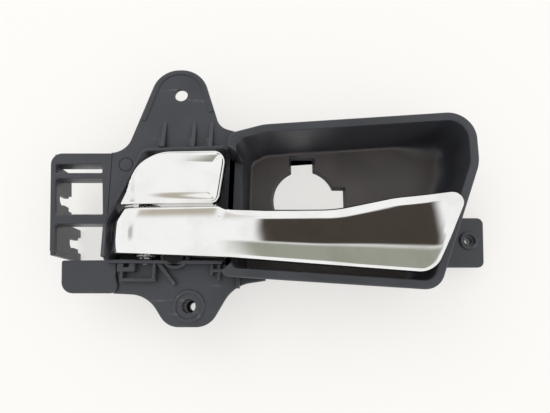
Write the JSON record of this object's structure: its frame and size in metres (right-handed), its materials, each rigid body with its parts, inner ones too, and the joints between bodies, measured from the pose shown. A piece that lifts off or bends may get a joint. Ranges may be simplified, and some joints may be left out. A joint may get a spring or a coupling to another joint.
{
  "type": "interior car door handle",
  "caption": "Interior car door handle: housing with finger bowl, screw ears and cable bracket, chrome pull lever and lock lever on one pivot pin.",
  "frame": {"origin": "centre of the outline, in the plane of the bowl's back, on which the part lies", "axes": "+X along the pull lever from the cable bracket to the lever's free end, +Y towards the upper screw ear, +Z out of the door trim"},
  "size_m": [0.2104, 0.1238, 0.0428],
  "materials": {
    "housing_plastic": "fine moulded grain, satin",
    "carrier_plastic": "satin",
    "chrome_plate": "mirror polish",
    "steel": "zinc plated",
    "acetal": "natural",
    "rubber": "matt"
  },
  "bodies": {
    "housing": {"housing_bracket": "housing_plastic", "housing_top_ear": "housing_plastic", "housing_pocket": "housing_plastic", "housing_low_ear": "housing_plastic", "housing_bowl": "housing_plastic", "housing_bowl_floor": "housing_plastic", "handle_rest_bumper": "rubber", "lock_rest_bumper": "rubber", "pivot_pin": "steel", "pin_circlip": "steel", "return_spring": "steel", "lock_detent_spring": "steel"},
    "handle": {"handle_cover": "chrome_plate", "handle_back": "carrier_plastic", "handle_hub": "carrier_plastic", "handle_bush_1": "acetal", "handle_bush_2": "acetal", "handle_cover_screw_1": "steel", "handle_cover_screw_2": "steel", "handle_cover_screw_3": "steel"},
    "lock": {"lock_cover": "chrome_plate", "lock_back": "carrier_plastic", "lock_hub": "carrier_plastic", "lock_bush_1": "acetal", "lock_bush_2": "acetal", "lock_cover_screw_1": "steel", "lock_cover_screw_2": "steel"}
  },
  "joints": [
    {"name": "handle_pull", "type": "hinge", "parent": "housing", "child": "handle", "pos_m": [-0.05925, -0.01755, 0.024], "axis": [0, -1, 0], "range_deg": [0, 35], "stiffness_Nm_per_rad": 0.15, "springref_deg": -28.65, "deforming": ["return_spring"]},
    {"name": "lock_toggle", "type": "hinge", "parent": "housing", "child": "lock", "pos_m": [-0.05925, -0.01755, 0.024], "axis": [0, -1, 0], "range_deg": [0, 12]}
  ]
}
